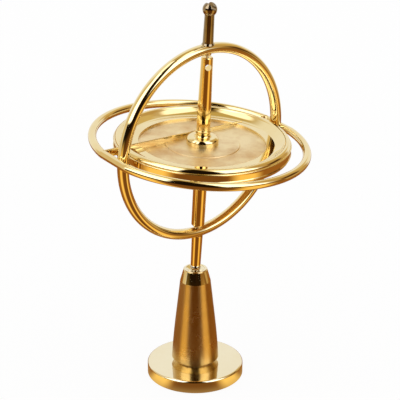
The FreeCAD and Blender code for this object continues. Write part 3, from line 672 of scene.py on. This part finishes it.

# %% [markdown]
# Each piece gets the finish that it seems to have in the photograph, or for a hidden piece a likely one.
# The table also lists the record's material slot that each piece stands for, but that name is not used.

# %% Give every piece its finish
FINISH_OF = {
    "base_disc": (pale_gold, "polished_brass"), "pivot_cup": (pale_gold, "polished_brass"),
    "pedestal_column": (satin_gold, "satin_brass"),
    "rotor_web": (web_gold, "turned_brass"),
    "upper_spindle": (spindle_gold, "polished_brass"), "lower_spindle": (spindle_gold, "polished_brass"),
    "top_stem": (stem_gold, "polished_brass"), "foot_stem": (spindle_gold, "polished_brass"),
    "upper_bearing": (web_gold, "turned_brass"), "lower_bearing": (web_gold, "turned_brass"),
    "base_screw": (bright_steel, "steel"), "foot_ball": (bright_steel, "steel"),
    "hub_stud": (bright_steel, "steel"), "upper_pivot_pin": (bright_steel, "steel"),
    "lower_pivot_pin": (bright_steel, "steel"),
}
for groups in (GYRO_PIECES, STAND_PIECES):
    for members in groups.values():
        for node, piece in members.items():
            finish, slot_name = FINISH_OF.get(node, (mirror_gold, "polished_brass"))
            piece.data.materials.clear()
            piece.data.materials.append(finish)

# %% [markdown]
# ## The studio
# The camera stands where a fit of the object's outlines puts it: a little above the rings, some 46 cm
# away, with a long lens. Its small roll comes from the same fit.

# %% Camera at the photograph's viewing angle
CAMERA_PLACE = Vector((-0.03, -433.73, 231.97)) * MM
LOOKS_AT = Vector((1.490, 0, 65.759)) * MM
ROLL = math.radians(0.2504)
LENS, SENSOR = 121.98, 36
bpy.ops.object.select_all(action="DESELECT")
bpy.ops.object.camera_add(location=CAMERA_PLACE)
camera = bpy.context.object
aim = (LOOKS_AT - camera.location).to_track_quat("-Z", "Y")
camera.rotation_mode = "QUATERNION"
camera.rotation_quaternion = aim @ Quaternion((0, 0, 1), ROLL)
camera.data.lens = LENS
camera.data.sensor_width = SENSOR
bpy.context.scene.camera = camera
print("camera:", [round(x, 4) for x in camera.location], "m")

# %% [markdown]
# ### White paper and a white room
# The background is plain white. The world is white at strength 1 for the camera and for reflections
# alike, and the paper on the floor shows almost only as white too, with a fourteenth of its real shading
# left, which keeps a faint soft shadow round the base.

# %% Floor and world
WHITE_SHARE = 0.93
bpy.ops.mesh.primitive_plane_add(size=6)
floor = bpy.context.object
floor.name = floor.data.name = "studio_floor"
paper = bpy.data.materials.new("white_paper")
paper.use_nodes = True
tree = paper.node_tree
paper_shader = tree.nodes["Principled BSDF"]
paper_shader.inputs["Base Color"].default_value = (0.9, 0.9, 0.9, 1)
paper_shader.inputs["Roughness"].default_value = 0.9
white = add(tree, "Emission", Strength=1.0)
ray = add(tree, "LightPath")
seen = add(tree, "Math", operation="ADD", use_clamp=True)
share = add(tree, "Math", operation="MULTIPLY")
share.inputs[1].default_value = WHITE_SHARE
sheet = add(tree, "MixShader")
join(tree, ray.outputs["Is Camera Ray"], seen.inputs[0])
join(tree, ray.outputs["Is Glossy Ray"], seen.inputs[1])
join(tree, seen.outputs[0], share.inputs[0])
join(tree, share.outputs[0], sheet.inputs[0])
join(tree, paper_shader.outputs["BSDF"], sheet.inputs[1])
join(tree, white.outputs["Emission"], sheet.inputs[2])
join(tree, sheet.outputs["Shader"], tree.nodes["Material Output"].inputs["Surface"])
floor.data.materials.append(paper)

world = bpy.data.worlds.new("white_room")
world.use_nodes = True
world.node_tree.nodes["Background"].inputs["Color"].default_value = (1, 1, 1, 1)
world.node_tree.nodes["Background"].inputs["Strength"].default_value = 1
bpy.context.scene.world = world
bpy.context.scene.view_settings.view_transform = "Standard"

# %% [markdown]
# ### A painted dome for the metal to mirror
# Polished metal shows the room, not the lamps. A photographer would hang soft cards round the object; a
# dome with the cards painted on it does the same, and its cards can have soft edges. Only reflections
# see it: the camera, the shadows and the paper do not. One node group paints one card. It compares the
# heading (0 at the camera, 90 to the right) and the height angle with the card's middle, fades out over
# the soft edge, and lays the card's colour over the colour that was there before.

# %% Soft card group
soft_card, covered, given, made = new_group(
    "soft_card",
    [("Float", "Heading"), ("Float", "Height"), ("Color", "Before"), ("Color", "Card"),
     ("Float", "Middle Heading"), ("Float", "Half Width"), ("Float", "Middle Height"),
     ("Float", "Half Height"), ("Float", "Soft Edge")],
    [("Color", "Colour")])
covered.operation = "MULTIPLY"
for slot_number, (angle, middle, half) in enumerate((
        ("Heading", "Middle Heading", "Half Width"), ("Height", "Middle Height", "Half Height"))):
    away = add(soft_card, "Math", operation="SUBTRACT")
    distance = add(soft_card, "Math", operation="ABSOLUTE")
    outer = add(soft_card, "Math", operation="ADD")
    fade = add(soft_card, "MapRange", interpolation_type="SMOOTHSTEP", To_Min=1, To_Max=0)
    join(soft_card, given.outputs[angle], away.inputs[0])
    join(soft_card, given.outputs[middle], away.inputs[1])
    join(soft_card, away.outputs[0], distance.inputs[0])
    join(soft_card, given.outputs[half], outer.inputs[0])
    join(soft_card, given.outputs["Soft Edge"], outer.inputs[1])
    join(soft_card, distance.outputs[0], fade.inputs["Value"])
    join(soft_card, given.outputs[half], fade.inputs["From Min"])
    join(soft_card, outer.outputs[0], fade.inputs["From Max"])
    join(soft_card, fade.outputs["Result"], covered.inputs[slot_number])
laid = add(soft_card, "Mix", data_type="RGBA")
join(soft_card, covered.outputs[0], laid.inputs[0])
join(soft_card, given.outputs["Before"], laid.inputs[COLOUR_A])
join(soft_card, given.outputs["Card"], laid.inputs[COLOUR_B])
join(soft_card, laid.outputs[COLOUR_OUT], made.inputs["Colour"])
print("group:", soft_card.name, len(soft_card.nodes), "nodes")

# %% [markdown]
# The dome's heading and height angle come from its own coordinates. The cards are then laid in order:
# the ceiling and the sides first, then the two bright cards, the dark front between them and the darker
# cards along the horizon.

# %% The dome and its cards
DOME_CENTRE, DOME_RADIUS = (0, 0, 80 * MM), 0.9


def only_in_reflections(piece):
    piece.visible_camera = False
    piece.visible_diffuse = False
    piece.visible_shadow = False
    piece.visible_transmission = False


def glow(name):
    """A glowing material, its node tree and the socket for its colour."""
    light = bpy.data.materials.new(name)
    light.use_nodes = True
    light.cycles.emission_sampling = "NONE"
    tree = light.node_tree
    tree.nodes.remove(tree.nodes["Principled BSDF"])
    shine = add(tree, "Emission", Strength=1.0)
    join(tree, shine.outputs["Emission"], tree.nodes["Material Output"].inputs["Surface"])
    return light, tree, shine.inputs["Color"]


bpy.ops.mesh.primitive_uv_sphere_add(segments=96, ring_count=48, radius=DOME_RADIUS, location=DOME_CENTRE)
dome = bpy.context.object
dome.name = dome.data.name = "studio_dome"
put_in_place(dome, dome.matrix_world.copy())
painted, tree, dome_colour = glow("painted_dome")
place = add(tree, "TexCoord")
from_middle = add(tree, "VectorMath", operation="SUBTRACT")
from_middle.inputs[1].default_value = DOME_CENTRE
one_long = add(tree, "VectorMath", operation="NORMALIZE")
split = add(tree, "SeparateXYZ")
to_front = add(tree, "Math", operation="MULTIPLY")
to_front.inputs[1].default_value = -1
round_angle = add(tree, "Math", operation="ARCTAN2")
up_angle = add(tree, "Math", operation="ARCSINE")
heading = add(tree, "Math", operation="DEGREES")
height = add(tree, "Math", operation="DEGREES")
join(tree, place.outputs["Object"], from_middle.inputs[0])
join(tree, from_middle.outputs[0], one_long.inputs[0])
join(tree, one_long.outputs[0], split.inputs[0])
join(tree, split.outputs["Y"], to_front.inputs[0])
join(tree, split.outputs["X"], round_angle.inputs[0])
join(tree, to_front.outputs[0], round_angle.inputs[1])
join(tree, split.outputs["Z"], up_angle.inputs[0])
join(tree, round_angle.outputs[0], heading.inputs[0])
join(tree, up_angle.outputs[0], height.inputs[0])

NEAR_BLACK = (0.012, 0.006, 0.002)
CREAM = (0.92, 0.89, 0.82)
CARDS = [
    # middle heading, half width, middle height, half height, soft edge, colour
    (0, 200, 95, 33, 14, (0.58, 0.42, 0.15)),
    (-100, 16, 25, 38, 10, (0.74, 0.60, 0.36)),
    (108, 22, 18, 34, 10, (0.55, 0.36, 0.13)),
    (104, 9, 16, 9, 6, (0.10, 0.045, 0.012)),
    (140, 10, 38, 12, 8, (0.68, 0.50, 0.20)),
    (-96, 42, 72, 9, 6, (1.5, 1.42, 1.25)),
    (88, 42, 71, 8, 6, (1.5, 1.42, 1.25)),
    (0, 200, 98, 10, 8, (0.10, 0.05, 0.018)),
    (-53, 23, 44, 26, 3, (2.2, 2.15, 2.0)),
    (52, 21, 42, 26, 3, (2.2, 2.15, 2.0)),
    (0, 22, 37, 52, 7, NEAR_BLACK),
    (-37, 36, 0, 16, 4, NEAR_BLACK),
    (60, 30, -2, 13, 5, (0.24, 0.11, 0.025)),
    (20, 20, 0, 14, 4, NEAR_BLACK),
    (0, 200, -63, 48, 3, (0.34, 0.13, 0.022)),
    (0, 22, -62, 46, 22, (0.20, 0.075, 0.014)),
    (-57, 7, -58, 42, 20, (1.15, 0.72, 0.18)),
    (57, 7, -58, 42, 20, (1.15, 0.72, 0.18)),
    (0, 200, -90, 9, 7, (0.52, 0.33, 0.12)),
]
before = None
for middle, half_width, middle_height, half_height, soft, colour in CARDS:
    one_card = tree.nodes.new("ShaderNodeGroup")
    one_card.node_tree = soft_card
    for socket, value in (("Middle Heading", middle), ("Half Width", half_width),
                          ("Middle Height", middle_height), ("Half Height", half_height),
                          ("Soft Edge", soft), ("Card", (*colour, 1)), ("Before", (*CREAM, 1))):
        one_card.inputs[socket].default_value = value
    join(tree, heading.outputs[0], one_card.inputs["Heading"])
    join(tree, height.outputs[0], one_card.inputs["Height"])
    if before:
        join(tree, before.outputs["Colour"], one_card.inputs["Before"])
    before = one_card
join(tree, before.outputs["Colour"], dome_colour)
dome.data.materials.append(painted)
only_in_reflections(dome)
print("dome:", len(CARDS), "cards")

# %% [markdown]
# The last five cards have their middles far below the horizon. They are also painted on one large disc a
# hair above the paper. It is shaped like a varnished table board, but it glows with the same paint as the
# dome, so it is painted light that only reflections see: brown, with a golden wedge to the left and to the
# right for the warm streaks of the column and the spindle, and paler round the base.

# %% Glowing board: painted light for the reflections below
BOARD_RADIUS, BOARD_HEIGHT = 0.95, 0.02 * MM
# The board glows with the dome's paint, and only reflections see it. It is painted light for the warm
# streaks in the metal, not a lit table.
bpy.ops.mesh.primitive_circle_add(vertices=96, radius=BOARD_RADIUS, fill_type="NGON",
                                  location=(0, 0, BOARD_HEIGHT))
board = bpy.context.object
board.name = board.data.name = "glowing_reflection_board"
put_in_place(board, board.matrix_world.copy())
board.data.materials.append(painted)
only_in_reflections(board)
